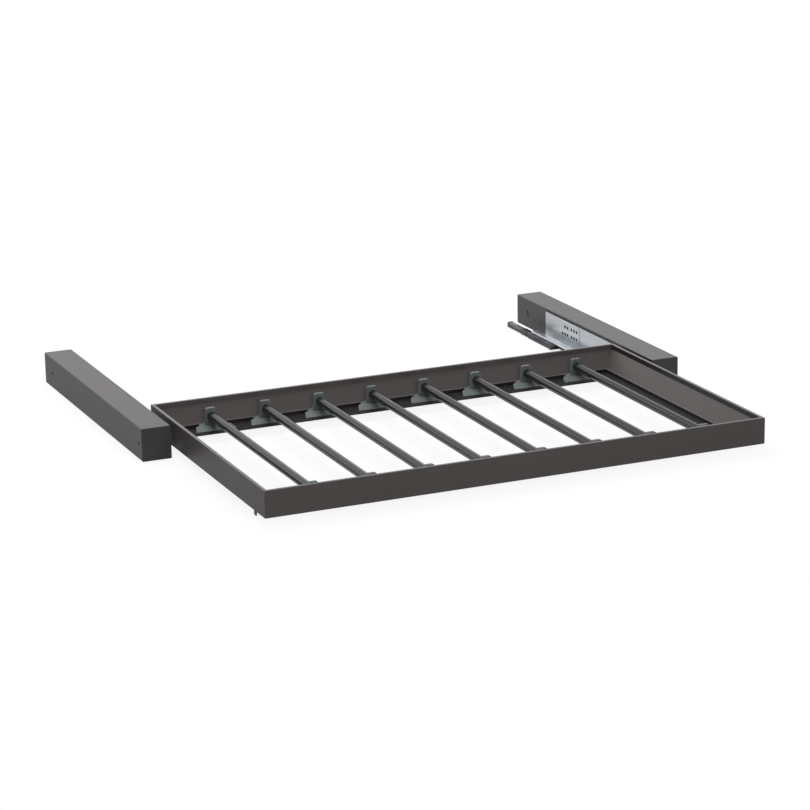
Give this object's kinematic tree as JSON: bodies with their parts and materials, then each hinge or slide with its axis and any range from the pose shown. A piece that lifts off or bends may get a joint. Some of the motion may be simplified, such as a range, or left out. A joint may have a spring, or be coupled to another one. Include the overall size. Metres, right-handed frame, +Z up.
{
  "type": "pull out trouser rack",
  "caption": "Pull-out trouser rack for a wardrobe: a flat frame of hanging rods on soft-closing ball slides between two side housings, shown pulled out.",
  "frame": {"origin": "middle of the floor area of the pulled-out rack, at the height of the housings' underside", "axes": "+X across the wardrobe, +Y into the wardrobe, +Z up"},
  "size_m": [0.864, 0.821, 0.0495],
  "materials": {
    "painted_steel": "satin powder coat",
    "cap_plastic": "moulded satin",
    "zinc_plated_steel": "bright zinc",
    "bright_steel": "turned and zinc plated",
    "ball_steel": "polished",
    "black_plastic": "moulded satin",
    "grey_plastic": "moulded smooth",
    "natural_plastic": "moulded smooth",
    "painted_aluminium": "metallic powder coat",
    "key_aluminium": "sawn bare metal",
    "support_plastic": "moulded fine grain",
    "painted_rod": "satin powder coat",
    "lever_steel": "dark plated"
  },
  "bodies": {
    "side_housings": {"left_housing_shell": "painted_steel", "right_housing_shell": "painted_steel", "left_front_cap": "cap_plastic", "left_rear_cap": "cap_plastic", "right_front_cap": "cap_plastic", "right_rear_cap": "cap_plastic", "left_fixed_profile": "zinc_plated_steel", "right_fixed_profile": "zinc_plated_steel", "left_spacer_blocks": "black_plastic", "right_spacer_blocks": "black_plastic", "left_profile_screws": "bright_steel", "right_profile_screws": "bright_steel", "left_damper_body": "black_plastic", "right_damper_body": "black_plastic", "left_damper_cylinder": "grey_plastic", "right_damper_cylinder": "grey_plastic", "left_damper_clip": "bright_steel", "right_damper_clip": "bright_steel", "left_closing_spring": "bright_steel", "right_closing_spring": "bright_steel"},
    "ball_cage_left": {"left_ball_cage": "black_plastic", "left_slide_balls": "ball_steel"},
    "ball_cage_right": {"right_ball_cage": "black_plastic", "right_slide_balls": "ball_steel"},
    "catch_left": {"left_catch_carriage": "natural_plastic", "left_piston": "bright_steel"},
    "catch_right": {"right_catch_carriage": "natural_plastic", "right_piston": "bright_steel"},
    "rack": {"front_rail": "painted_aluminium", "rear_rail": "painted_aluminium", "left_rail": "painted_aluminium", "right_rail": "painted_aluminium", "rod_1": "painted_rod", "rod_2": "painted_rod", "rod_3": "painted_rod", "rod_4": "painted_rod", "rod_5": "painted_rod", "rod_6": "painted_rod", "rod_7": "painted_rod", "rod_8": "painted_rod", "rod_supports_1": "support_plastic", "rod_supports_2": "support_plastic", "rod_supports_3": "support_plastic", "rod_supports_4": "support_plastic", "rod_supports_5": "support_plastic", "rod_supports_6": "support_plastic", "rod_supports_7": "support_plastic", "rod_supports_8": "support_plastic", "support_screws": "bright_steel", "corner_keys": "key_aluminium", "left_moving_profile": "zinc_plated_steel", "right_moving_profile": "zinc_plated_steel", "slide_rivets": "bright_steel", "lever_pins": "bright_steel"},
    "lever_left": {"left_release_lever": "lever_steel"},
    "lever_right": {"right_release_lever": "lever_steel"}
  },
  "joints": [
    {"name": "rack_slide", "type": "slide", "parent": "side_housings", "child": "rack", "axis": [0, 1, 0], "range_m": [0, 0.349]},
    {"name": "ball_cage_slide_left", "type": "slide", "parent": "side_housings", "child": "ball_cage_left", "axis": [0, 1, 0], "range_m": [0, 0.1745]},
    {"name": "catch_slide_left", "type": "slide", "parent": "side_housings", "child": "catch_left", "axis": [0, 1, 0], "range_m": [0, 0.045], "deforming": ["left_closing_spring"]},
    {"name": "lever_hinge_left", "type": "hinge", "parent": "rack", "child": "lever_left", "pos_m": [-0.37425, -0.3465, 0.0137], "axis": [-1, 0, 0], "range_deg": [0, 5]},
    {"name": "ball_cage_slide_right", "type": "slide", "parent": "side_housings", "child": "ball_cage_right", "axis": [0, 1, 0], "range_m": [0, 0.1745]},
    {"name": "catch_slide_right", "type": "slide", "parent": "side_housings", "child": "catch_right", "axis": [0, 1, 0], "range_m": [0, 0.045], "deforming": ["right_closing_spring"]},
    {"name": "lever_hinge_right", "type": "hinge", "parent": "rack", "child": "lever_right", "pos_m": [0.37425, -0.3465, 0.0137], "axis": [-1, 0, 0], "range_deg": [0, 5]}
  ],
  "couplings": [
    {"joint": "ball_cage_slide_left", "follows": "rack_slide", "ratio": 0.5},
    {"joint": "ball_cage_slide_right", "follows": "rack_slide", "ratio": 0.5}
  ]
}
